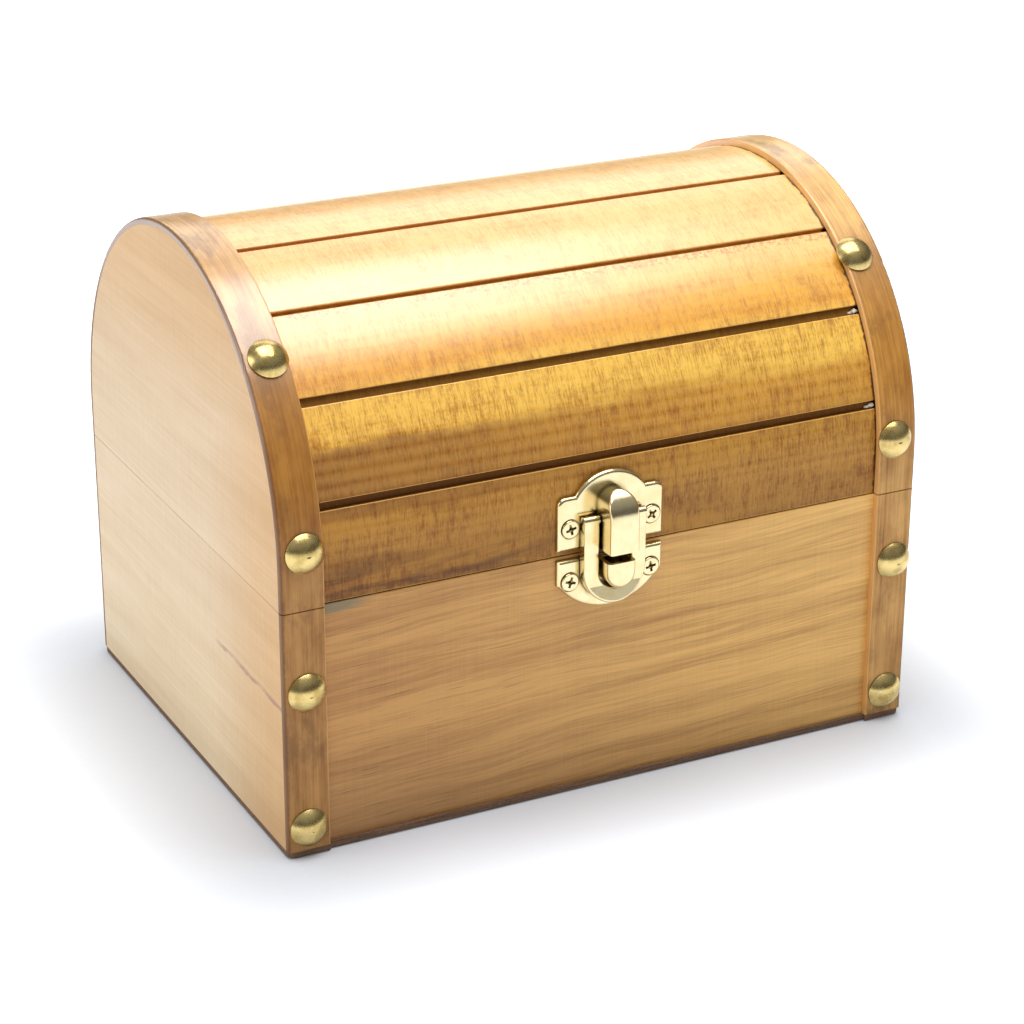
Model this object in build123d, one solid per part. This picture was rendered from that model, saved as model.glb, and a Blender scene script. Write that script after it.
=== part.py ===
from build123d import *
import os
from math import cos, hypot, radians, sin, tan

# A small wooden chest with a half-round hinged lid, a front latch and two rear hinges.
# Millimetres. X runs along the box, -Y is the front and +Z is up. The origin is the middle
# of the footprint, on the surface that the box stands on.

# The box
WIDTH = 160.0               # over the end panels
DEPTH = 120.0               # over the straps
SEAM_Z = 59.0               # where the lid meets the base
LID_AXIS_Z = 68.0           # the lid's sides are upright to here and half round above
SEAM_GAP = 0.25
END_SEAM_GAP = 0.1          # the end panels close tighter than the sanded front and rear ones
BOTTOM_T = 1.8
END_T = 8.0
WALL_T = 6.0
COVER_T = 4.0
EDGE_R = 0.3                # the sanded edges of the panels

# The four wooden straps of the base and the two of the lid
STRAP_W = 10.0
STRAP_T = 1.6
STRAP_OUTER_R = 0.8         # rounding of the edge at the end of the box
STRAP_INNER_R = 0.3

# The sheet under the base
BOTTOM_CORNER_R = 2.0
BOTTOM_EDGE_R = 0.7
BOTTOM_RECESS = 0.8         # how far it steps back between the straps

# Grooves along the lid: (angle above the lid's axis, width), the same on the rear half
GROOVES = [(12.5, 1.9), (34.5, 2.1), (55.5, 1.2), (76.5, 1.5)]
GROOVE_DEPTH = 1.25
GROOVE_LIP_R = 0.25

# Domed nails through the straps into the end panels
NAIL_R = 4.5
NAIL_H = 2.5
NAIL_RIM = 0.3
NAIL_SHANK_R = 0.8
NAIL_LENGTH = 11.0
# Where the nails of the front were driven, by hand: (x, height) on the base and
# (x, angle above the lid's axis) on the lid. The rear has the same.
BASE_NAILS = [(-75.0, 7.2), (-74.6, 39.8), (75.0, 7.5), (75.4, 41.5)]
LID_NAILS = [(-74.3, 4.0), (-74.3, 44.5), (74.0, 4.0), (73.0, 47.0)]

# The latch: two plates, a hood on the upper one, a boss on the lower one and a looped hasp.
# Heights here are above the seam.
LATCH_X = -0.7
PLATE_T = 1.2
PLATE_HALF_W = 13.25
PLATE_EDGE_R = 0.8
UPPER_LOW = 1.4
UPPER_SHOULDER = 14.0
UPPER_TOP = 18.8
UPPER_NECK_HALF_W = 8.8
UPPER_CORNER_R = 2.0
LOWER_TOP = -0.9
LOWER_SHOULDER = -6.9
LOWER_FOOT = (12.0, -8.0)
LOWER_BOTTOM = -13.8
PRESSED_WALL = 0.9
HOOD_HALF_W = 3.65
HOOD_OUT = 7.0
HOOD_LOW = 1.4
HOOD_ARCH_TOP = 15.4        # of its half-round front view
HOOD_TOP = 16.0             # of its quarter-round side view
HOOD_EDGE_R = 0.8
BOSS_HALF_W = 3.55
BOSS_OUT = 5.8
BOSS_TOP = -1.2
BOSS_BOTTOM = -7.45
BOSS_EDGE_R = 1.1
HASP_PIVOT = 8.3
HASP_PIVOT_OUT = 1.3        # from the plates' outer face
HASP_T = 2.2
HASP_HALF_W = 7.8
HASP_BOTTOM = -11.8
HASP_EYE_HALF_W = 4.0
HASP_EYE_BOTTOM = -8.2
HASP_EDGE_R = 0.5
HASP_LIP_Z = -7.2           # below here the loop turns outwards, for a fingertip
HASP_LIP_ANGLE = 13.0
HASP_LIP_R = 2.0
HASP_PIN_R = 1.0
HASP_PIN_REACH = 2.85       # the pins' inner ends, from the latch's middle
HOOD_NOTCH_HALF = 1.25
LATCH_SCREW_X = 10.2
UPPER_SCREW_Z = 6.6
LOWER_SCREW_Z = -6.1

# Two butt hinges on the rear face
HINGE_X = 40.0
HINGE_AXIS_Y = 60.2
HINGE_W = 18.0
LEAF_T = 0.8
LEAF_H = 8.5
KNUCKLE_R = 1.7
KNUCKLE_GAP = 0.1
PIN_R = 0.8
PIN_RUNNING_GAP = 0.05
PIN_HEAD_R = 1.2
PIN_HEAD_T = 0.5
LEAF_SCREW_X = 5.5
LEAF_SCREW_Z = 5.2

# Screws: (head radius, head height, shank radius, length below the head)
LATCH_SCREW = (2.15, 0.85, 0.8, 6.2)
LEAF_SCREW = (1.6, 0.6, 0.6, 5.6)
LATCH_SEAT = (2.4, 0.4)     # radius and depth of the sinking around each latch screw
RECESS_SPAN = 0.6           # of the head's diameter
RECESS_WIDTH = 0.14
RECESS_DEPTH = 0.75         # of the head's height
PIT_SPAN = 0.3              # of the head's diameter
SCREW_TURNS = (15, 35, 75, 10)

STRAP_R = DEPTH / 2
WOOD_R = STRAP_R - STRAP_T
INNER_X = WIDTH / 2 - END_T
BASE_TOP = SEAM_Z - SEAM_GAP / 2
LID_LOW = SEAM_Z + SEAM_GAP / 2
BASE_END_TOP = SEAM_Z - END_SEAM_GAP / 2
LID_END_LOW = SEAM_Z + END_SEAM_GAP / 2
PLATE_FACE = WOOD_R + PLATE_T
STRAP_X = WIDTH / 2 - STRAP_W
NEAR = 1e-3


def block(low, high):
    """A block between two opposite corners."""
    size = [b - a for a, b in zip(low, high)]
    return Pos(*low) * Box(*size, align=(Align.MIN, Align.MIN, Align.MIN))


def along_x(section, x_low, x_high):
    """A section drawn in Y and Z, run along X."""
    return extrude(Plane.YZ.offset(x_low) * section, x_high - x_low, dir=(1, 0, 0))


def outward(section, y_low, y_high):
    """A section drawn in X and Z, run forwards from y_low to y_high in front of the middle."""
    return extrude(Plane.XZ.offset(y_low) * section, y_high - y_low, dir=(0, -1, 0))


def group(solids):
    return Compound(children=[s.solid() for s in solids])


def drill(piece, holes):
    """The piece with each hole cut out of it."""
    for hole in holes:
        piece = piece - hole
    return piece


def left_right(piece):
    return piece, mirror(piece, about=Plane.YZ)


def front_rear(piece):
    return piece, mirror(piece, about=Plane.XZ)


# ---- wood ----

def arch(x_low, x_high, radius, z_low):
    """The box's end outline, upright sides under a half-round top, run along X."""
    sides = Polyline((-radius, LID_AXIS_Z), (-radius, z_low), (radius, z_low), (radius, LID_AXIS_Z))
    crown = ThreePointArc((radius, LID_AXIS_Z), (0, LID_AXIS_Z + radius), (-radius, LID_AXIS_Z))
    return along_x(make_face(sides + crown), x_low, x_high)


def lid_end():
    return arch(-WIDTH / 2, -INNER_X, WOOD_R, LID_END_LOW)


def base_end():
    return block((-WIDTH / 2, -WOOD_R, BOTTOM_T), (-INNER_X, WOOD_R, BASE_END_TOP))


def base_wall():
    """The front panel of the base, with its top outer edge sanded."""
    low, high = (-WOOD_R, BOTTOM_T), (WALL_T - WOOD_R, BASE_TOP)
    section = make_face(Polyline(low, (high[0], low[1]), high, (low[0], high[1]), low))
    edge = section.vertices().sort_by(Axis.Y)[-2:].sort_by(Axis.X)[0]
    return along_x(fillet(edge, EDGE_R), -INNER_X, INNER_X)


def on_lid(angle, radius):
    """A point of the lid's section, at an angle above the front of its axis."""
    return (-radius * cos(radians(angle)), LID_AXIS_Z + radius * sin(radians(angle)))


def groove(angle, width):
    """The section of a groove, cut square into the lid's face."""
    cut = Rectangle(2 * GROOVE_DEPTH, width)
    return Pos(0, LID_AXIS_Z) * Rot(0, 0, 180 - angle) * Pos(WOOD_R, 0) * cut


def soften(section, radius, z_above):
    """Rounds the corners of a lid section that lie on its outer face."""
    corners = section.vertices().filter_by(
        lambda v: v.Y > z_above and hypot(v.X, max(v.Y - LID_AXIS_Z, 0)) > WOOD_R - 0.05)
    return fillet(corners, radius)


def lid_rail():
    """The straight slat along the front of the lid, up to the lowest groove."""
    angle, width = GROOVES[0]
    inner_y = WOOD_R - WALL_T
    face = Line((-WOOD_R, LID_LOW), (-WOOD_R, LID_AXIS_Z))
    bend = CenterArc((0, LID_AXIS_Z), WOOD_R, 180 - angle, angle)
    back = Polyline(on_lid(angle, WOOD_R), on_lid(angle, inner_y / cos(radians(angle))),
                    (-inner_y, LID_LOW), (-WOOD_R, LID_LOW))
    section = make_face(face + bend + back) - groove(angle, width)
    section = soften(section, GROOVE_LIP_R, LID_AXIS_Z + 1)
    edge = section.vertices().sort_by(Axis.Y)[:2].sort_by(Axis.X)[0]
    return along_x(fillet(edge, EDGE_R), -INNER_X, INNER_X)


def lid_cover():
    """The curved sheet between the two rails, with the rest of the grooves in it."""
    start = GROOVES[0][0]
    inner_r = WOOD_R - COVER_T
    sweep = 180 - 2 * start
    outer = CenterArc((0, LID_AXIS_Z), WOOD_R, start, sweep)
    inner = CenterArc((0, LID_AXIS_Z), inner_r, start, sweep)
    front = Line(on_lid(start, WOOD_R), on_lid(start, inner_r))
    rear = Line(on_lid(180 - start, WOOD_R), on_lid(180 - start, inner_r))
    section = make_face(outer + inner + front + rear)
    for angle, width in GROOVES:
        section = section - groove(angle, width) - groove(180 - angle, width)
    return along_x(soften(section, GROOVE_LIP_R, LID_AXIS_Z), -INNER_X, INNER_X)


def round_strap(strap):
    """Rounds a left-hand strap's two long outer edges."""
    def outside(point):
        return hypot(point.Y, max(point.Z - LID_AXIS_Z, 0)) > STRAP_R - NEAR

    def long_edges(x):
        return strap.edges().filter_by(
            lambda e: all(outside(e @ t) and abs((e @ t).X - x) < NEAR for t in (0, 0.5, 1)))

    strap = fillet(long_edges(-WIDTH / 2), STRAP_OUTER_R)
    return fillet(long_edges(-STRAP_X), STRAP_INNER_R)


def lid_strap():
    whole = arch(-WIDTH / 2, -STRAP_X, STRAP_R, LID_LOW)
    return round_strap(whole - arch(-WIDTH / 2, -STRAP_X, WOOD_R, LID_LOW - 1))


def base_strap():
    return round_strap(block((-WIDTH / 2, -STRAP_R, BOTTOM_T), (-STRAP_X, -WOOD_R, BASE_TOP)))


def bottom_sheet():
    """The thin sheet under the base, stepped back between the straps, its lower edge rounded."""
    outline = Rectangle(WIDTH, DEPTH)
    outline = fillet(outline.vertices(), BOTTOM_CORNER_R)
    for y in (-STRAP_R, STRAP_R):
        outline = outline - Pos(0, y) * Rectangle(2 * STRAP_X, 2 * BOTTOM_RECESS)
    sheet = extrude(outline, BOTTOM_T)
    return fillet(sheet.edges().group_by(Axis.Z)[0], BOTTOM_EDGE_R)


# ---- nails and screws ----

def domed_head(radius, height, rim):
    """A dome on a short rim, standing on the XY plane."""
    rest = Polyline((radius, rim), (radius, 0), (0, 0), (0, height))
    dome = TangentArc((0, height), (radius, rim), tangent=(1, 0))
    return revolve(Plane.XZ * make_face(rest + dome), Axis.Z)


def shank(radius, length):
    """A pointed shank hanging below the XY plane."""
    point = 2 * radius
    body = Pos(0, 0, -(length - point) / 2) * Cylinder(radius, length - point)
    return body + Pos(0, 0, -length + point / 2) * Cone(0.1, radius, point)


def nail():
    return domed_head(NAIL_R, NAIL_H, NAIL_RIM) + shank(NAIL_SHANK_R, NAIL_LENGTH)


def screw(head_r, head_h, shank_r, length):
    """A screw with a flat round-edged head, a cross in it and a pit in the middle of the cross."""
    head = Pos(0, 0, head_h / 2) * Cylinder(head_r, head_h)
    head = fillet(head.edges().group_by(Axis.Z)[-1], head_h / 3)
    whole = head + shank(shank_r, length)
    depth = RECESS_DEPTH * head_h
    slot = Box(2 * head_r * RECESS_SPAN, 2 * head_r * RECESS_WIDTH, 2 * depth)
    pit = Pos(0, 0, head_h) * Rot(180, 0, 0) * Cone(head_r * PIT_SPAN, 0.1, 2 * head_h,
                                                    align=(Align.CENTER, Align.CENTER, Align.MIN))
    return drill(whole, [Pos(0, 0, head_h) * slot, Pos(0, 0, head_h) * Rot(0, 0, 90) * slot, pit])


def facing_out(x, angle, radius, z=LID_AXIS_Z):
    """A place on a face of the box, its +Z axis pointing out, at an angle above the front."""
    up = angle if angle <= 90 else 180 - angle
    side = -1 if angle <= 90 else 1
    return Pos(x, side * radius * cos(radians(up)), z + radius * sin(radians(up))) * Rot(90 - angle, 0, 0)


def base_nail_places():
    return [facing_out(x, angle, STRAP_R, z) for x, z in BASE_NAILS for angle in (0, 180)]


def lid_nail_places():
    return [facing_out(x, angle, STRAP_R) for x, front in LID_NAILS for angle in (front, 180 - front)]


def latch_screw_places(height):
    """The screws' seats in a latch plate, the left one and the right one."""
    return [facing_out(LATCH_X + x, 0, PLATE_FACE - LATCH_SEAT[1], SEAM_Z + height)
            for x in (-LATCH_SCREW_X, LATCH_SCREW_X)]


def latch_seats(height):
    """What is cut out of a latch plate for its screws."""
    radius, depth = LATCH_SEAT
    sinking = Pos(0, 0, depth) * Cylinder(radius, 2 * depth)
    return [p * (sinking + shank(*LATCH_SCREW[2:])) for p in latch_screw_places(height)]


def latch_screws(height, turns):
    return group([p * Rot(0, 0, turn) * screw(*LATCH_SCREW)
                  for p, turn in zip(latch_screw_places(height), turns)])


def leaf_screw_places(hinge_x, side):
    """The two screws of a hinge leaf: side is 1 on the lid and -1 on the base."""
    return [facing_out(hinge_x + x, 180, WOOD_R + LEAF_T, SEAM_Z + side * LEAF_SCREW_Z)
            for x in (-LEAF_SCREW_X, LEAF_SCREW_X)]


# ---- latch ----

def round_front(plate):
    return fillet(plate.edges().group_by(Axis.Y)[0], PLATE_EDGE_R)


def upper_plate_blank():
    neck, edge = UPPER_NECK_HALF_W, PLATE_HALF_W
    low, shoulder = SEAM_Z + UPPER_LOW, SEAM_Z + UPPER_SHOULDER
    body = Pos(0, (low + shoulder) / 2) * Rectangle(2 * edge, shoulder - low)
    body = fillet(body.vertices().group_by(Axis.Y)[-1], UPPER_CORNER_R)
    crown = ThreePointArc((-neck, shoulder), (0, SEAM_Z + UPPER_TOP), (neck, shoulder))
    foot = Polyline((neck, shoulder), (neck, low + 1), (-neck, low + 1), (-neck, shoulder))
    return round_front(outward(body + make_face(crown + foot), WOOD_R, PLATE_FACE))


def hood_side(inset, low):
    """The hood's side view, drawn in Y and Z: upright below and a quarter round above, or its hollow."""
    reach = HOOD_OUT - inset
    spring = SEAM_Z + HOOD_TOP - HOOD_OUT
    foot = Polyline((-PLATE_FACE - reach, spring), (-PLATE_FACE - reach, low), (-PLATE_FACE, low),
                    (-PLATE_FACE, spring + reach))
    return make_face(foot + CenterArc((-PLATE_FACE, spring), reach, 90, 90))


def hood_front(inset, low):
    """The hood's front view, drawn in X and Z: upright sides under a half-round top."""
    half, top = HOOD_HALF_W - inset, SEAM_Z + HOOD_ARCH_TOP - inset
    sides = Polyline((-half, top - half), (-half, low), (half, low), (half, top - half))
    return make_face(sides + ThreePointArc((half, top - half), (0, top), (-half, top - half)))


def hood_form(inset, low):
    """The hood's solid form, or the hollow in it."""
    half, out = HOOD_HALF_W - inset, PLATE_FACE + HOOD_OUT - inset
    return along_x(hood_side(inset, low), -half, half) & outward(hood_front(inset, low), PLATE_FACE, out)


def hood_shell():
    """A pressed hood, open below, its front edges rounded."""
    low = SEAM_Z + HOOD_LOW
    shell = hood_form(0, low)
    rounded = shell.edges().filter_by(
        lambda e: (e @ 0.5).Z > low + NEAR and (e @ 0.5).Y < -PLATE_FACE - NEAR
        and abs((e @ 0.5).X) > NEAR)
    return fillet(rounded, HOOD_EDGE_R)


def pin_notch():
    """What is cut out of the hood's sides for the hasp's pins."""
    pivot_z = SEAM_Z + HASP_PIVOT
    notch_out = PLATE_FACE + HASP_PIVOT_OUT + HOOD_NOTCH_HALF
    return block((-PLATE_HALF_W, -notch_out, pivot_z - HOOD_NOTCH_HALF),
                 (PLATE_HALF_W, -PLATE_FACE, pivot_z + HOOD_NOTCH_HALF))


def latch_upper_plate():
    pressed = upper_plate_blank() + hood_shell() - hood_form(PRESSED_WALL, SEAM_Z + HOOD_LOW - 1)
    plate = Pos(LATCH_X, 0, 0) * (pressed - pin_notch())
    return drill(plate, latch_seats(UPPER_SCREW_Z))


def lower_plate_blank():
    edge, (foot_x, foot_z) = PLATE_HALF_W, LOWER_FOOT
    top, shoulder, foot = SEAM_Z + LOWER_TOP, SEAM_Z + LOWER_SHOULDER, SEAM_Z + foot_z
    sides = Polyline((-foot_x, foot), (-edge, shoulder), (-edge, top), (edge, top), (edge, shoulder),
                     (foot_x, foot))
    bow = ThreePointArc((foot_x, foot), (0, SEAM_Z + LOWER_BOTTOM), (-foot_x, foot))
    return round_front(outward(make_face(sides + bow), WOOD_R, PLATE_FACE))


def boss_section(inset, top):
    """The boss's front view, flat on top and half round below, or the hollow in it."""
    half = BOSS_HALF_W - inset
    axis = SEAM_Z + BOSS_BOTTOM + BOSS_HALF_W
    sides = Polyline((-half, axis), (-half, top), (half, top), (half, axis))
    return make_face(sides + ThreePointArc((half, axis), (0, axis - half), (-half, axis)))


def boss():
    """A pressed boss, open on top, that the hasp's eye drops over."""
    top, out = SEAM_Z + BOSS_TOP, PLATE_FACE + BOSS_OUT
    shell = outward(boss_section(0, top), PLATE_FACE, out)
    rim = shell.edges().group_by(Axis.Y)[0].filter_by(lambda e: (e @ 0.5).Z < top - NEAR)
    shell = fillet(rim, BOSS_EDGE_R)
    return shell - outward(boss_section(PRESSED_WALL, top + 1), PLATE_FACE, out - PRESSED_WALL)


def latch_lower_plate():
    plate = Pos(LATCH_X, 0, 0) * (lower_plate_blank() + boss())
    return drill(plate, latch_seats(LOWER_SCREW_Z))


def loop_section(half_w, bottom, top):
    """A U shape's front view, filled in."""
    axis = SEAM_Z + bottom + half_w
    sides = Polyline((-half_w, axis), (-half_w, top), (half_w, top), (half_w, axis))
    return make_face(sides + ThreePointArc((half_w, axis), (0, axis - half_w), (-half_w, axis)))


def hasp_side(pivot_y, top):
    """The hasp's side view, drawn in Y and Z: straight down, then a lip that leans outwards."""
    back, front = pivot_y + HASP_T / 2, pivot_y - HASP_T / 2
    bend, bottom = SEAM_Z + HASP_LIP_Z, SEAM_Z + HASP_BOTTOM
    lean = (bend - bottom) * tan(radians(HASP_LIP_ANGLE))
    outline = Polyline((back, top), (back, bend), (back - lean, bottom), (front - lean, bottom),
                       (front, bend), (front, top), (back, top))
    section = make_face(outline)
    return fillet(section.vertices().filter_by(lambda v: abs(v.Y - bend) < NEAR), HASP_LIP_R)


def latch_hasp():
    """The looped hasp: a U on two short pins that turn in the hood's notches."""
    pivot_z, pivot_y = SEAM_Z + HASP_PIVOT, -(PLATE_FACE + HASP_PIVOT_OUT)
    loop = loop_section(HASP_HALF_W, HASP_BOTTOM, pivot_z) - loop_section(
        HASP_EYE_HALF_W, HASP_EYE_BOTTOM, pivot_z + 1)
    strip = along_x(hasp_side(pivot_y, pivot_z), -HASP_HALF_W, HASP_HALF_W)
    hasp = strip & outward(loop, PLATE_FACE, PLATE_FACE + HOOD_OUT)
    hasp = fillet(front_rim(hasp, pivot_y - HASP_T / 2, pivot_z), HASP_EDGE_R)
    for side in (-1, 1):
        leg = side * (HASP_HALF_W + HASP_EYE_HALF_W) / 2
        axle = side * (HASP_PIN_REACH + HASP_EYE_HALF_W + HASP_EDGE_R) / 2
        eye_end = Pos(leg, pivot_y, pivot_z) * Rot(0, 90, 0) * Cylinder(
            HASP_T / 2, HASP_HALF_W - HASP_EYE_HALF_W)
        pin = Pos(axle, pivot_y, pivot_z) * Rot(0, 90, 0) * Cylinder(
            HASP_PIN_R, HASP_EYE_HALF_W + HASP_EDGE_R - HASP_PIN_REACH)
        hasp = hasp + eye_end + pin
    return Pos(LATCH_X, 0, 0) * hasp


def front_rim(hasp, front, top):
    """The long edges of the hasp's front face."""
    faces = hasp.faces().filter_by(lambda f: f.normal_at().Y < -0.8 and f.center().Y < front + 0.1)
    return faces.edges().filter_by(lambda e: (e @ 0.5).Z < top - NEAR and not on_bend(e, faces))


def on_bend(edge, faces):
    """Whether an edge lies between two of the faces."""
    def holds(face):
        return any((e @ 0.5 - edge @ 0.5).length < NEAR for e in face.edges())
    return sum(1 for face in faces if holds(face)) > 1


# ---- hinges ----

def rod_x(x_low, x_high, radius):
    """A rod on the hinge axis."""
    middle = Pos((x_low + x_high) / 2, HINGE_AXIS_Y, SEAM_Z)
    return middle * Rot(0, 90, 0) * Cylinder(radius, x_high - x_low)


def knuckle_spans():
    """Where the three knuckles lie along a hinge: the lid's is the middle one."""
    third = HINGE_W / 6
    middle = (-third + KNUCKLE_GAP / 2, third - KNUCKLE_GAP / 2)
    return [(-HINGE_W / 2, -third - KNUCKLE_GAP / 2), middle, (third + KNUCKLE_GAP / 2, HINGE_W / 2)]


def hinge_leaf(own, other, side, bore_r):
    """A leaf with its own knuckles, cut clear of the other leaf's: side is 1 on the lid, -1 on the base."""
    far, near = SEAM_Z + side * LEAF_H, SEAM_Z + side * SEAM_GAP / 2
    low, high = min(far, near), max(far, near)
    leaf = block((-HINGE_W / 2, WOOD_R, low), (HINGE_W / 2, WOOD_R + LEAF_T, high))
    corners = leaf.edges().filter_by(Axis.Y).filter_by(lambda e: abs((e @ 0.5).Z - far) < NEAR)
    leaf = fillet(corners, 1.0)
    for x_low, x_high in other:
        leaf = leaf - rod_x(x_low - KNUCKLE_GAP, x_high + KNUCKLE_GAP, KNUCKLE_R + KNUCKLE_GAP)
    for x_low, x_high in own:
        leaf = leaf + rod_x(x_low, x_high, KNUCKLE_R)
    return leaf - rod_x(-HINGE_W, HINGE_W, bore_r)


def hinge_base_leaf():
    first, middle, last = knuckle_spans()
    return hinge_leaf([first, last], [middle], -1, PIN_R)


def hinge_lid_leaf():
    first, middle, last = knuckle_spans()
    return hinge_leaf([middle], [first, last], 1, PIN_R + PIN_RUNNING_GAP)


def hinge_pin():
    """The hinge's pin, held by the base leaf, with a flat head at each end."""
    pin = rod_x(-HINGE_W / 2, HINGE_W / 2, PIN_R)
    for side in (-1, 1):
        ends = sorted((side * HINGE_W / 2, side * (HINGE_W / 2 + PIN_HEAD_T)))
        pin = pin + rod_x(*ends, PIN_HEAD_R)
    return pin


# ---- the whole box ----

def wood_parts():
    """Every wooden piece, drilled for the nails and screws that go into it."""
    base_holes = [p * shank(NAIL_SHANK_R, NAIL_LENGTH) for p in base_nail_places()]
    lid_holes = [p * shank(NAIL_SHANK_R, NAIL_LENGTH) for p in lid_nail_places()]
    upper_holes = [p * shank(*LATCH_SCREW[2:]) for p in latch_screw_places(UPPER_SCREW_Z)]
    lower_holes = [p * shank(*LATCH_SCREW[2:]) for p in latch_screw_places(LOWER_SCREW_Z)]
    leaf_holes = {side: [p * shank(*LEAF_SCREW[2:]) for x in (-HINGE_X, HINGE_X)
                         for p in leaf_screw_places(x, side)] for side in (-1, 1)}
    parts = {"base_bottom_panel": bottom_sheet(), "lid_cover": lid_cover()}
    parts["base_end_left"], parts["base_end_right"] = [drill(p, base_holes) for p in left_right(base_end())]
    parts["lid_end_left"], parts["lid_end_right"] = [drill(p, lid_holes) for p in left_right(lid_end())]
    parts["lid_strap_left"], parts["lid_strap_right"] = [drill(p, lid_holes) for p in left_right(lid_strap())]
    for side, strap in zip(("front", "rear"), front_rear(base_strap())):
        for hand, piece in zip(("left", "right"), left_right(strap)):
            parts[f"base_strap_{side}_{hand}"] = drill(piece, base_holes)
    front_wall, rear_wall = front_rear(base_wall())
    parts["base_front_panel"] = drill(front_wall, lower_holes)
    parts["base_rear_panel"] = drill(rear_wall, leaf_holes[-1])
    front_rail, rear_rail = front_rear(lid_rail())
    parts["lid_front_rail"] = drill(front_rail, upper_holes)
    parts["lid_rear_rail"] = drill(rear_rail, leaf_holes[1])
    return parts


def metal_parts():
    """The nails, the latch and the hinges, with their screws."""
    parts = {
        "base_strap_nails": group([p * nail() for p in base_nail_places()]),
        "lid_strap_nails": group([p * nail() for p in lid_nail_places()]),
        "latch_upper_plate": latch_upper_plate(),
        "latch_upper_screws": latch_screws(UPPER_SCREW_Z, SCREW_TURNS[:2]),
        "latch_lower_plate": latch_lower_plate(),
        "latch_lower_screws": latch_screws(LOWER_SCREW_Z, SCREW_TURNS[2:]),
        "latch_hasp": latch_hasp(),
    }
    for hand, x in (("left", -HINGE_X), ("right", HINGE_X)):
        for leaf, shape, side in (("base", hinge_base_leaf(), -1), ("lid", hinge_lid_leaf(), 1)):
            holes = [p * shank(*LEAF_SCREW[2:]) for p in leaf_screw_places(x, side)]
            parts[f"hinge_{hand}_{leaf}_leaf"] = drill(Pos(x, 0, 0) * shape, holes)
        parts[f"hinge_{hand}_pin"] = Pos(x, 0, 0) * hinge_pin()
    for leaf, side in (("base", -1), ("lid", 1)):
        places = leaf_screw_places(-HINGE_X, side) + leaf_screw_places(HINGE_X, side)
        parts[f"hinge_{leaf}_screws"] = group([p * screw(*LEAF_SCREW) for p in places])
    return parts


os.makedirs("parts", exist_ok=True)
for name, shape in {**wood_parts(), **metal_parts()}.items():
    export_step(shape, f"parts/{name}.step")
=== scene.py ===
from math import cos, pi, radians, sin

import bmesh
import bpy
from mathutils import Matrix, Vector, noise


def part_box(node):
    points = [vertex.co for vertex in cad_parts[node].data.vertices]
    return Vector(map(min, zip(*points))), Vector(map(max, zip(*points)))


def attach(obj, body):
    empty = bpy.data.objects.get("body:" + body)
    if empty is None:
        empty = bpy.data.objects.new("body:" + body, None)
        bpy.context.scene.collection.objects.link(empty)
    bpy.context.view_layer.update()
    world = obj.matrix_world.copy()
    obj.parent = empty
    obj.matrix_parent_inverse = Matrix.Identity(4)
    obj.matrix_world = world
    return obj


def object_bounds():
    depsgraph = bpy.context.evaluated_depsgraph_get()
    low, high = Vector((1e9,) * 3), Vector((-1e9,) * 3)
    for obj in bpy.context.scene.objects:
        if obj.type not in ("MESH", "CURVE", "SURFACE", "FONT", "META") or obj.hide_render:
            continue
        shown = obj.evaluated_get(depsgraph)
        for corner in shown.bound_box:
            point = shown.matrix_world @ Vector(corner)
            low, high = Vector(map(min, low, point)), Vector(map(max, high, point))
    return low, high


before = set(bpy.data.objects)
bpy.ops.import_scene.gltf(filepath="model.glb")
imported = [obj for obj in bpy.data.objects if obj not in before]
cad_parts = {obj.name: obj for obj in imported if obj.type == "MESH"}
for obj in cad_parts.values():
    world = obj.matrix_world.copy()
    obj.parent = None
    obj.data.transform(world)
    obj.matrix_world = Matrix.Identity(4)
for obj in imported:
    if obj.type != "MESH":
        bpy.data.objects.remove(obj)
cad_box = [list(corner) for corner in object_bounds()]

MM = 0.001

# The box's main sizes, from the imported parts
STRAP_LOW, STRAP_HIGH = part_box("lid_strap_left")
COVER_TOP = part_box("lid_cover")[1].z
FRONT_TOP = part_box("base_front_panel")[1].z
LID_AXIS_Z = STRAP_HIGH.z - STRAP_HIGH.y
COVER_R = COVER_TOP - LID_AXIS_Z
STRAP_INNER_X = -STRAP_HIGH.x
SEAM_Z = (STRAP_LOW.z + FRONT_TOP) / 2


def srgb(red, green, blue):
    """A display colour, 0 to 255, as the linear colour that a shader takes."""
    def linear(value):
        value /= 255
        return value / 12.92 if value <= 0.04045 else ((value + 0.055) / 1.055) ** 2.4
    return (linear(red), linear(green), linear(blue), 1.0)


# ---- node graphs ----

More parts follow.
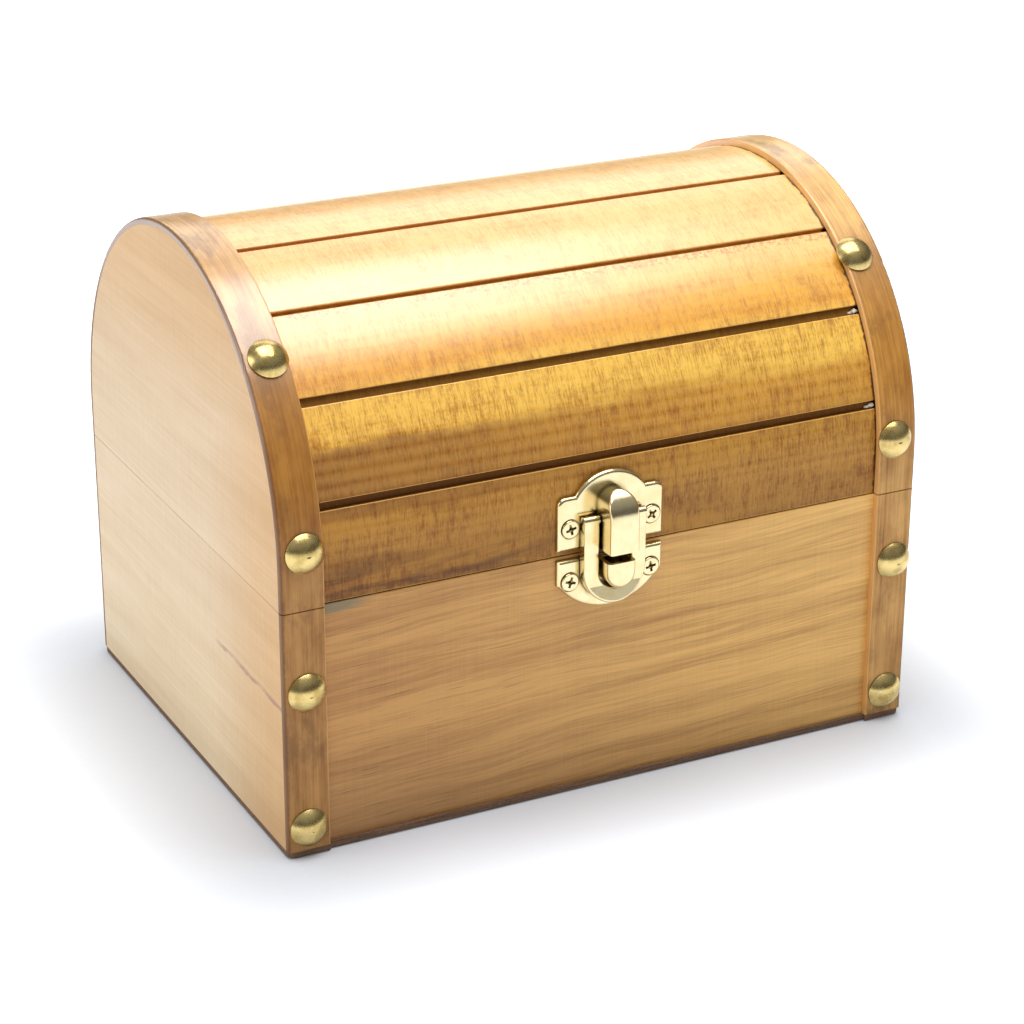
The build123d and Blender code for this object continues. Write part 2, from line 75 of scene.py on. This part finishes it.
class Graph:
    """A node tree. Each call adds one node and returns its output."""

    def __init__(self, owner):
        owner.use_nodes = True
        self.tree = owner.node_tree
        self.tree.nodes.clear()

    def add(self, kind, inputs=None, output=0, **settings):
        node = self.tree.nodes.new("ShaderNode" + kind)
        for key, value in settings.items():
            setattr(node, key, value)
        for key, value in (inputs or {}).items():
            if isinstance(value, bpy.types.NodeSocket):
                self.tree.links.new(value, node.inputs[key])
            else:
                node.inputs[key].default_value = value
        return node.outputs[output] if node.outputs else None

    def math(self, operation, a, b=0.0, clamp=False):
        return self.add("Math", {0: a, 1: b}, operation=operation, use_clamp=clamp)

    def plus(self, a, b):
        return self.math("ADD", a, b)

    def minus(self, a, b):
        return self.math("SUBTRACT", a, b)

    def times(self, a, b, clamp=False):
        return self.math("MULTIPLY", a, b, clamp)

    def size(self, a):
        return self.math("ABSOLUTE", a)

    def length(self, a, b):
        """The length of the vector that a and b are the two parts of."""
        return self.math("SQRT", self.plus(self.math("POWER", a, 2.0), self.math("POWER", b, 2.0)))

    def mix(self, factor, a, b, blend="MIX"):
        """The colour a where the factor is 0, b where it is 1."""
        return self.add("Mix", {0: factor, 6: a, 7: b}, output=2, data_type="RGBA", blend_type=blend)

    def span(self, value, low, high, to_low=0.0, to_high=1.0):
        """Maps low..high to to_low..to_high with soft ends."""
        return self.add("MapRange", {0: value, 1: low, 2: high, 3: to_low, 4: to_high},
                        interpolation_type="SMOOTHSTEP")

    def ramp(self, value, *stops):
        node = self.tree.nodes.new("ShaderNodeValToRGB")
        self.tree.links.new(value, node.inputs[0])
        elements = node.color_ramp.elements
        while len(elements) < len(stops):
            elements.new(0.5)
        for element, (position, colour) in zip(elements, stops):
            element.position = position
            element.color = colour
        return node.outputs[0]

    def xyz(self, x, y, z):
        return self.add("CombineXYZ", {0: x, 1: y, 2: z})

    def noise(self, vector, scale=1.0, detail=2.0, rough=0.5, distortion=0.0):
        return self.add("TexNoise", {"Vector": vector, "Scale": scale, "Detail": detail, "Roughness": rough,
                                     "Distortion": distortion})

    def place(self):
        """X, Y and Z in the object's frame, in millimetres, as they are at rest."""
        scaled = self.add("VectorMath", {0: self.add("TexCoord", output=3), 3: 1 / MM}, operation="SCALE")
        node = self.tree.nodes.new("ShaderNodeSeparateXYZ")
        self.tree.links.new(scaled, node.inputs[0])
        return node.outputs

    def grain(self, along, across, through, length, width):
        """A vector whose noise is drawn out along the grain, length by width millimetres."""
        return self.xyz(self.times(along, 1 / length), self.times(across, 1 / width),
                        self.times(through, 1 / width))

    def seen(self):
        """1 where the camera looks straight at the surface, 0 for the light that it gives."""
        return self.add("LightPath", output="Is Camera Ray")

    def surface(self, **inputs):
        shader = self.add("BsdfPrincipled", {key.replace("_", " "): value for key, value in inputs.items()})
        self.add("OutputMaterial", {0: shader})

    def bump(self, height, strength, distance_mm):
        return self.add("Bump", {"Height": height, "Strength": strength, "Distance": distance_mm * MM})


def material(name):
    made = bpy.data.materials.new(name)
    return made, Graph(made)


def dress(made, *names):
    """Puts one material on the named CAD nodes."""
    for name in names:
        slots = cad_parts[name].data.materials
        slots.clear()
        slots.append(made)


# ---- wood ----

def streaks(g, along, across, through, length, width, **settings):
    """Noise from 0 to 1, drawn out along the grain."""
    return g.noise(g.grain(along, across, through, length, width), **settings)


def weigh(g, *parts):
    """The sum of (value, weight) pairs."""
    total = None
    for value, weight in parts:
        scaled = g.times(value, weight)
        total = scaled if total is None else g.plus(total, scaled)
    return total


def varnished(g, colour, grain, rough, coat, coat_rough, coat_ior=1.5, relief=0.05, gloss=0.5):
    """The shader of varnished wood: grain lifts the surface a little, and the coat less."""
    g.surface(Base_Color=colour, Roughness=g.span(grain, 0.3, 0.7, rough + 0.08, rough - 0.05),
              Normal=g.bump(grain, 0.35, relief), Coat_Weight=coat, Coat_Roughness=coat_rough,
              Coat_IOR=coat_ior, Coat_Normal=g.bump(grain, 0.12, relief), Specular_IOR_Level=gloss)


def tint(g, colour, grain, dark, low=0.32, high=0.68):
    """The colour, multiplied by dark where the grain is low and left as it is where it is high."""
    return g.mix(1.0, colour, g.ramp(grain, (low, dark), (high, (1, 1, 1, 1))), "MULTIPLY")


def lid_polar(g, place):
    """Angle above the lid's axis, seen from the front as a turn of 0 to 2 over the top, and the radius."""
    rise = g.math("MAXIMUM", g.minus(place[2], LID_AXIS_Z / MM), 0.0)
    forward = g.times(place[1], -1.0)
    angle = g.add("Math", {0: rise, 1: forward}, operation="ARCTAN2")
    return g.times(angle, 2 / pi), g.length(rise, forward)


def round_lid(g, place):
    """Along the arc of the lid, across along X, and out from the lid's axis."""
    turn, radius = lid_polar(g, place)
    below = g.math("MINIMUM", g.minus(place[2], LID_AXIS_Z / MM), 0.0)
    arc = g.plus(g.times(turn, COVER_R / MM * pi / 2), below)
    return arc, place[0], radius


def mirrored(g, turn):
    """The same turn on the rear half as on the front half."""
    return g.minus(1.0, g.size(g.minus(turn, 1.0)))


def between(g, value, low, high, soft):
    """1 from low to high, falling to 0 over soft outside them."""
    return g.times(g.span(value, low - soft, low), g.span(value, high, high + soft, 1.0, 0.0))


def lid_tone(g, turn, height, arc, x, out):
    """The lid's broad bands along the box, paler towards the top, partly as painted light, and darker low
    down and to the left.
    """
    left = g.span(x, 50.0, -75.0)
    wobble = g.noise(g.grain(x, arc, out, 60, 12), detail=4, rough=0.6)
    banded = g.plus(turn, g.times(g.minus(wobble, 0.5), 0.13))
    # The bands are partly wood tone and partly painted light, paler and whiter where the lid turns up
    # towards the lamp above.
    tone = g.ramp(banded,
                  (0.00, srgb(184, 130, 46)), (0.12, srgb(192, 138, 44)), (0.17, srgb(200, 140, 42)),
                  (0.25, srgb(216, 156, 54)), (0.29, srgb(252, 202, 84)), (0.38, srgb(252, 198, 76)),
                  (0.43, srgb(240, 168, 40)), (0.50, srgb(246, 182, 54)), (0.55, srgb(250, 200, 108)),
                  (0.75, srgb(250, 198, 118)), (1.00, srgb(252, 200, 122)))
    shade = g.times(g.span(height, 17.0, -2.0), g.plus(g.times(left, 0.85), 0.3), clamp=True)
    stain = streaks(g, x, arc, out, 34, 4.5, detail=4, rough=0.65, distortion=0.4)
    shade = g.times(shade, g.span(stain, 0.34, 0.6, 1.0, 0.25))
    tone = g.mix(g.times(left, 0.3), tone, g.mix(1.0, tone, srgb(246, 228, 220), "MULTIPLY"))
    lower = g.times(between(g, banded, 0.10, 0.255, 0.025), g.times(left, 0.75))
    tone = g.mix(lower, tone, srgb(138, 84, 22))
    return g.mix(g.times(shade, 0.95), tone, srgb(92, 52, 18))


def lid_grain(g, arc, x, out):
    """Short streaks round the curve, over blotches along the box."""
    blotch = streaks(g, x, arc, out, 22, 5, detail=4, rough=0.6)
    patch = streaks(g, arc, x, out, 7, 1.9, detail=4, rough=0.65)
    short = streaks(g, arc, x, out, 3.5, 0.42, detail=3, rough=0.65)
    speck = g.noise(g.xyz(arc, x, out), scale=1.6, detail=3, rough=0.65)
    line = streaks(g, x, arc, out, 50, 1.1, detail=3, rough=0.6)
    return weigh(g, (blotch, 0.20), (patch, 0.24), (short, 0.34), (speck, 0.16), (line, 0.06))


def lid_edges(g, colour, place, turn, depth):
    """Chips, a painted highlight on the lips and painted shade on the walls where the grooves are cut, and
    the line of glue.
    """
    chips = g.span(g.noise(g.xyz(*place), scale=1.1, detail=3, rough=0.7), 0.50, 0.58)
    chips = g.times(chips, between(g, turn, 0.592, 0.606, 0.008))
    colour = g.mix(g.times(chips, 0.75), colour, srgb(196, 112, 34))
    # Painted highlight: a paler line along the rounded lips of the grooves.
    lip_highlight = between(g, depth, 0.04, 0.22, 0.06)
    colour = g.mix(g.times(lip_highlight, 0.5), colour, srgb(250, 206, 120))
    # Painted shade: the walls and floors of the grooves are darkened, more and browner in the lower
    # grooves.
    low = g.span(turn, 0.45, 0.55, 1.0, 0.0)
    groove_shade = g.times(between(g, depth, 0.42, 1.35, 0.15), g.plus(g.times(low, 0.35), 0.5))
    colour = g.mix(groove_shade, colour, g.mix(low, srgb(146, 78, 24), srgb(112, 70, 28)))
    outside = g.span(depth, 1.4, 2.0, 1.0, 0.0)
    return g.mix(g.times(glue_line(g, place), outside), colour, srgb(74, 40, 16))


def lid_pine():
    """Golden pine: broad bands along the lid, crossed by short fine streaks round the curve."""
    made, g = material("lid_pine")
    place = g.place()
    arc, x, out = round_lid(g, place)
    turn = mirrored(g, lid_polar(g, place)[0])
    depth = g.minus(COVER_R / MM, out)
    tone = lid_tone(g, turn, g.minus(place[2], SEAM_Z / MM), arc, x, out)
    raw = g.span(depth, 2.0, 3.5)
    tone = g.mix(raw, tone, srgb(224, 188, 134))
    grain = lid_grain(g, arc, x, out)
    soft = g.span(turn, 0.35, 0.55)
    stained = g.mix(soft, (0.52, 0.34, 0.11, 1), (0.74, 0.60, 0.38, 1))
    shade = g.span(grain, 0.38, 0.56, 1.0, 0.0)
    colour = g.mix(shade, tone, g.mix(1.0, tone, stained, "MULTIPLY"))
    dark = g.span(streaks(g, arc, x, out, 5, 0.3, detail=2), 0.60, 0.72)
    colour = g.mix(g.times(dark, g.minus(0.5, g.times(soft, 0.3))), colour, srgb(146, 82, 20))
    colour = lid_edges(g, colour, place, turn, depth)
    coat = g.times(g.span(turn, 0.18, 0.6, 0.15, 1.0), g.span(depth, 0.3, 0.6, 1.0, 0.0))
    gloss = g.math("MINIMUM", g.span(depth, 0.3, 0.6, 0.5, 0.1), g.span(turn, 0.10, 0.18, 0.15, 0.5))
    varnished(g, colour, grain, 0.42, coat, 0.25, coat_ior=1.8, relief=0.09, gloss=gloss)
    return made


def glue_line(g, place):
    """1 along the dark, uneven line of glue where the lid meets its right-hand strap."""
    gap = g.minus(STRAP_INNER_X / MM, place[0])
    uneven = g.noise(g.xyz(*place), scale=0.35, detail=4, rough=0.7)
    return g.span(g.plus(gap, g.times(uneven, -2.0)), -0.8, -0.3, 1.0, 0.0)


def base_pine():
    """Tan pine: fine dark wavy lines along the box, paler figure, a few faint upright saw marks."""
    made, g = material("base_pine")
    x, y, z = g.place()
    drift = g.times(g.noise(g.grain(x, z, y, 70, 16), detail=2), 7.0)
    slant = g.plus(g.plus(z, drift), g.times(x, -0.03))
    band = streaks(g, x, slant, y, 110, 5, detail=4, rough=0.6)
    line = streaks(g, x, slant, y, 38, 0.8, detail=4, rough=0.7)
    pore = streaks(g, x, slant, y, 9, 0.3, detail=2)
    saw = streaks(g, z, x, y, 26, 0.5, detail=3, rough=0.7)
    grain = weigh(g, (band, 0.42), (line, 0.32), (pore, 0.18), (saw, 0.08))
    # Painted light and shade: the front is paler to the right and darker towards its lower left.
    tone = g.mix(g.span(x, -75.0, 75.0), srgb(204, 148, 74), srgb(240, 188, 100))
    shade = g.times(g.span(z, 30.0, 0.0), g.span(x, 70.0, -70.0, 0.35, 1.0))
    tone = g.mix(g.times(shade, 0.6), tone, srgb(160, 114, 64))
    colour = tint(g, tone, grain, (0.58, 0.48, 0.38, 1), 0.36, 0.58)
    left = g.span(x, 30.0, -60.0, 0.25, 1.0)
    crack = g.span(streaks(g, x, slant, y, 16, 0.35, detail=3, rough=0.65), 0.61, 0.70)
    colour = g.mix(g.times(g.times(crack, left), 0.6), colour, srgb(88, 54, 30))
    corner = g.length(g.times(g.plus(x, 68.0), 0.09), g.times(g.minus(z, 58.2), 0.4))
    smear = g.times(g.span(corner, 0.3, 1.1, 0.75, 0.0), g.span(y, -57.0, -58.0))
    colour = g.mix(smear, colour, srgb(104, 106, 80))
    varnished(g, colour, grain, 0.5, 0.25, 0.35, relief=0.07)
    return made


def end_pine():
    """Pale smooth pine with a faint grain from front to rear."""
    made, g = material("end_pine")
    x, y, z = g.place()
    band = streaks(g, y, z, x, 90, 9, detail=3, rough=0.6, distortion=0.2)
    line = streaks(g, y, z, x, 40, 0.8, detail=3, rough=0.65)
    hair = streaks(g, z, y, x, 12, 0.35, detail=2)
    grain = weigh(g, (band, 0.45), (line, 0.35), (hair, 0.20))
    # Painted light and shade: the end is palest low down and towards the rear, and darker and warmer
    # towards its front edge and its top.
    edge = g.math("MAXIMUM", g.span(y, -10.0, -58.0), g.span(z, 75.0, 120.0))
    tone = g.mix(g.span(z, 5.0, 60.0), srgb(228, 206, 168), srgb(214, 188, 150))
    tone = g.mix(edge, tone, srgb(208, 166, 108))
    colour = tint(g, tone, grain, (0.86, 0.80, 0.72, 1), 0.36, 0.62)
    knot = g.times(knot_streak(g, y, z), g.span(x, -60.0, -70.0))
    colour = g.mix(knot, colour, srgb(138, 92, 84))
    varnished(g, colour, grain, 0.5, 0.25, 0.35, relief=0.03)
    return made


def knot_streak(g, y, z):
    """1 in a thin dark knot streak, nearly level, that runs to the front edge of an end."""
    along = g.plus(y, 42.0)
    middle = g.plus(z, g.times(along, -0.02))
    wavy = g.noise(g.grain(y, z, z, 9, 5), detail=3, rough=0.6)
    off = g.size(g.plus(g.minus(middle, 38.0), g.times(wavy, 3.0)))
    ends = g.span(g.size(along), 24.0, 15.0)
    return g.times(g.times(g.span(off, 0.9, 0.2), ends), g.span(wavy, 0.3, 0.6, 0.2, 0.75))


def strap_pine():
    """Smooth warm strip wood, its grain along the strap, dark on its outer edge, with a painted highlight
    along its inner edge.
    """
    made, g = material("strap_pine")
    place = g.place()
    arc, x, out = round_lid(g, place)
    turn = mirrored(g, lid_polar(g, place)[0])
    tone = g.ramp(turn,
                  (0.0, srgb(212, 162, 92)), (0.1, srgb(198, 142, 68)), (0.5, srgb(204, 146, 62)),
                  (0.60, srgb(240, 184, 92)), (1.0, srgb(246, 200, 124)))
    tone = g.mix(g.span(x, 60.0, -60.0), tone, g.mix(1.0, tone, srgb(226, 218, 214), "MULTIPLY"))
    band = streaks(g, arc, x, out, 40, 2.4, detail=4, rough=0.6, distortion=0.5)
    line = streaks(g, arc, x, out, 24, 0.5, detail=3, rough=0.6)
    patch = streaks(g, arc, x, out, 9, 5, detail=3, rough=0.6)
    grain = weigh(g, (band, 0.38), (line, 0.30), (patch, 0.32))
    colour = tint(g, tone, grain, (0.52, 0.40, 0.28, 1), 0.36, 0.58)
    stain = g.noise(g.xyz(arc, g.times(x, 1.6), out), scale=0.075, detail=5, rough=0.65)
    colour = g.mix(g.span(stain, 0.50, 0.66, 0.0, 0.5), colour, srgb(118, 78, 40))
    side = g.size(x)
    ragged = g.times(g.noise(g.xyz(*place), scale=1.0, detail=3, rough=0.7), 0.5)
    outer = g.span(g.plus(side, ragged), 79.55, 79.95)
    colour = g.mix(g.times(outer, 0.8), colour, srgb(104, 66, 38))
    # Painted highlight: a pale orange line along the rounded inner edge.
    inner = g.span(g.minus(side, STRAP_INNER_X / MM), 0.02, 0.45, 0.7, 0.0)
    colour = g.mix(inner, colour, srgb(236, 180, 110))
    coat = g.span(turn, 0.2, 0.6, 0.1, 1.0)
    gloss = g.span(turn, 0.2, 0.6, 0.2, 0.5)
    varnished(g, colour, grain, 0.45, coat, 0.25, coat_ior=1.8, relief=0.03, gloss=gloss)
    return made


def bottom_ply():
    """The sawn edge and face of the bottom sheet, dark partly as ply and partly as painted shade where it
    sits low under the box.
    """
    made, g = material("bottom_ply")
    x, y, z = g.place()
    ply = streaks(g, x, z, y, 12, 0.4, detail=3, rough=0.6)
    fuzz = g.noise(g.xyz(x, y, z), scale=1.2, detail=4, rough=0.7)
    grain = weigh(g, (ply, 0.6), (fuzz, 0.4))
    colour = tint(g, srgb(128, 98, 74), grain, (0.45, 0.40, 0.36, 1), 0.36, 0.62)
    varnished(g, colour, grain, 0.75, 0.0, 0.5, relief=0.15)
    return made


def dress_wood():
    dress(lid_pine(), "lid_cover", "lid_front_rail", "lid_rear_rail")
    dress(base_pine(), "base_front_panel", "base_rear_panel")
    dress(end_pine(), "base_end_left", "base_end_right", "lid_end_left", "lid_end_right")
    dress(strap_pine(), "lid_strap_left", "lid_strap_right", "base_strap_front_left",
          "base_strap_front_right", "base_strap_rear_left", "base_strap_rear_right")
    dress(bottom_ply(), "base_bottom_panel")


# ---- metal ----

SHADE_AND_GRIME_REACH = 1.4 * MM          # how far from a corner its painted shade and dirt spread


def brass(name, colour, dull, rough, spotted=0.3, shade_and_grime=0.0, dents=0.0):
    """Polished plating with faint duller clouds, fine scratches, a little wear, and painted shade with some
    dirt in its corners.
    """
    made, g = material(name)
    x, y, z = g.place()
    clouds = g.noise(g.xyz(x, y, z), scale=0.35, detail=3, rough=0.55)
    fine = g.noise(g.xyz(x, y, z), scale=5.0, detail=3, rough=0.6)
    pits = g.span(g.noise(g.xyz(x, y, z), scale=2.6, detail=2), 0.74, 0.80, 0.0, spotted)
    colour = g.mix(g.span(clouds, 0.40, 0.70, 0.0, 0.6), colour, dull)
    colour = g.mix(pits, colour, srgb(96, 76, 44))
    if shade_and_grime:
        # Painted shade, with some dirt: darker where corners and crevices close round the surface, such as
        # round the screw heads and the nails' rims.
        openness = g.add("AmbientOcclusion", {"Distance": SHADE_AND_GRIME_REACH}, output="AO", samples=6)
        crevice_shade_and_grime = g.times(g.span(openness, 0.45, 0.95, shade_and_grime, 0.0), g.span(clouds, 0.3, 0.6, 1.0, 0.55))
        colour = g.mix(crevice_shade_and_grime, colour, srgb(84, 66, 40))
    relief = g.plus(g.times(fine, 0.02), g.times(clouds, dents))
    g.surface(Base_Color=colour, Metallic=1.0, Roughness=g.span(fine, 0.3, 0.7, rough, rough + 0.08),
              Normal=g.bump(relief, 0.10, 1.0))
    return made


def dress_metal():
    nails = brass("nail_brass", srgb(220, 196, 130), srgb(160, 128, 64), 0.22, shade_and_grime=0.7, dents=0.35)
    latch = brass("latch_plating", srgb(232, 216, 172), srgb(226, 202, 146), 0.16, shade_and_grime=0.9)
    steel = brass("pin_steel", srgb(200, 196, 188), srgb(160, 156, 150), 0.3)
    dress(nails, "base_strap_nails", "lid_strap_nails")
    dress(latch, "latch_upper_plate", "latch_lower_plate", "latch_hasp", "latch_upper_screws",
          "latch_lower_screws", "hinge_left_base_leaf", "hinge_right_base_leaf", "hinge_left_lid_leaf",
          "hinge_right_lid_leaf", "hinge_base_screws", "hinge_lid_screws")
    dress(steel, "hinge_left_pin", "hinge_right_pin")


# ---- glue ----

GLUED_GROOVES = (12.5, 34.5)     # degrees above the lid's axis
GLUE_DEPTH = 0.9 * MM


def glue_paste():
    """Dried white glue, a little dirty in its hollows."""
    made, g = material("dried_glue")
    x, y, z = g.place()
    dirt = g.noise(g.xyz(x, y, z), scale=1.6, detail=4, rough=0.7)
    colour = g.mix(g.span(dirt, 0.4, 0.65), srgb(206, 198, 182), srgb(240, 238, 232))
    g.surface(Base_Color=colour, Roughness=0.45, Subsurface_Weight=0.3, Subsurface_Scale=0.5 * MM,
              Normal=g.bump(dirt, 0.4, 0.1))
    return made


def lump(mesh, centre, radii, seed):
    """Adds a lumpy drop to a bmesh."""
    made = bmesh.ops.create_icosphere(mesh, subdivisions=3, radius=1.0)
    for vertex in made["verts"]:
        push = 1 + 0.35 * noise.noise(vertex.co * 1.7 + Vector((seed, 0, 0)))
        vertex.co = centre + Vector(side * radius * push for side, radius in zip(vertex.co, radii))


def add_glue():
    """Drops of glue squeezed out at the right-hand ends of the two lowest grooves."""
    paste = glue_paste()
    for seed, degrees in enumerate(GLUED_GROOVES):
        angle, radius = radians(degrees), COVER_R - GLUE_DEPTH
        middle = Vector((STRAP_INNER_X, -radius * cos(angle), LID_AXIS_Z + radius * sin(angle)))
        mesh = bmesh.new()
        lump(mesh, middle - Vector((0.7, 0, 0.1)) * MM, Vector((0.8, 0.6, 0.55)) * MM, seed)
        lump(mesh, middle - Vector((1.9, 0, 0.4)) * MM, Vector((0.7, 0.4, 0.35)) * MM, seed + 5)
        data = bpy.data.meshes.new("glue_drop")
        mesh.to_mesh(data)
        mesh.free()
        data.polygons.foreach_set("use_smooth", [True] * len(data.polygons))
        data.materials.append(paste)
        drop = bpy.data.objects.new(f"glue_drop_{seed + 1}", data)
        bpy.context.scene.collection.objects.link(drop)
        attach(drop, "lid")


# ---- studio ----

FLOOR_HALF = 6.0
CAMERA_AZIMUTH, CAMERA_ELEVATION, CAMERA_ROLL = -27.01, 22.66, 0.18
CAMERA_TARGET = Vector((5.04, 0.0, 44.5)) * MM
CAMERA_DISTANCE = 0.689
CAMERA_LENS = 99.85
SENSOR = 36.0


def add_floor():
    """Pale paper that glows more the further it lies from the box: painted light, which leaves a painted
    soft shadow close round the box.
    """
    mesh = bpy.data.meshes.new("floor")
    corners = [(x * FLOOR_HALF, y * FLOOR_HALF, 0) for x, y in ((-1, -1), (1, -1), (1, 1), (-1, 1))]
    mesh.from_pydata(corners, [], [(0, 1, 2, 3)])
    floor = bpy.data.objects.new("floor", mesh)
    bpy.context.scene.collection.objects.link(floor)
    made, g = material("floor_paper")
    x, y, z = g.place()
    beyond = [g.math("MAXIMUM", g.minus(g.size(value), side / MM), 0.0)
              for value, side in zip((x, y), cad_box[1])]
    gap = g.length(*beyond)
    speckle = g.noise(g.xyz(x, y, z), scale=0.8, detail=2)
    colour = g.mix(speckle, srgb(202, 206, 213), srgb(206, 210, 217))
    # Painted light: the floor's glow rises with its distance from the box, and far off it is whiter still
    # to the camera alone.
    far = g.times(g.span(gap, 120.0, 400.0, 0.0, 0.6), g.seen())
    painted_glow = g.plus(g.span(gap, 0.0, 62.0, 0.08, 0.62), far)
    g.surface(Base_Color=colour, Roughness=0.9, Emission_Color=(1, 1, 1, 1), Emission_Strength=painted_glow)
    mesh.materials.append(made)


def softbox(name, position, target, size, power):
    light = bpy.data.lights.new(name, "AREA")
    light.shape = "RECTANGLE"
    light.size, light.size_y = size
    light.energy = power
    lamp = bpy.data.objects.new(name, light)
    lamp.location = position
    lamp.rotation_euler = (Vector(target) - Vector(position)).to_track_quat("-Z", "Y").to_euler()
    bpy.context.scene.collection.objects.link(lamp)


def add_lights():
    middle = (0, 0, 0.06)
    softbox("softbox_above", (0.07, -0.08, 1.1), (0.07, -0.08, 0.0), (0.95, 0.85), 13)
    softbox("softbox_left", (-1.3, 0.1, 0.5), middle, (0.9, 0.9), 7)
    softbox("softbox_back", (0.35, 1.0, 0.85), middle, (1.1, 0.7), 3)


def add_world():
    world = bpy.data.worlds.new("studio")
    bpy.context.scene.world = world
    g = Graph(world)
    node = g.tree.nodes.new("ShaderNodeSeparateXYZ")
    g.tree.links.new(g.add("TexCoord", output=0), node.inputs[0])
    level = g.span(node.outputs[2], 0.0, 0.75, 0.07, 0.36)
    level = g.math("MAXIMUM", level, g.seen())
    background = g.add("Background", {0: (1, 1, 1, 1), 1: level})
    g.add("OutputWorld", {0: background})


def add_camera():
    data = bpy.data.cameras.new("camera")
    data.sensor_width = SENSOR
    data.lens = CAMERA_LENS
    data.clip_start = 0.01
    azimuth, elevation = radians(CAMERA_AZIMUTH), radians(CAMERA_ELEVATION)
    back = Vector((sin(azimuth) * cos(elevation), -cos(azimuth) * cos(elevation), sin(elevation)))
    camera = bpy.data.objects.new("camera", data)
    look = (-back).to_track_quat("-Z", "Y").to_matrix().to_4x4()
    roll = Matrix.Rotation(radians(CAMERA_ROLL), 4, "Z")
    camera.matrix_world = Matrix.Translation(CAMERA_TARGET + back * CAMERA_DISTANCE) @ look @ roll
    bpy.context.scene.collection.objects.link(camera)
    bpy.context.scene.camera = camera


dress_wood()
dress_metal()
add_glue()
add_floor()
add_lights()
add_world()
add_camera()
bpy.context.scene.view_settings.view_transform = "Standard"
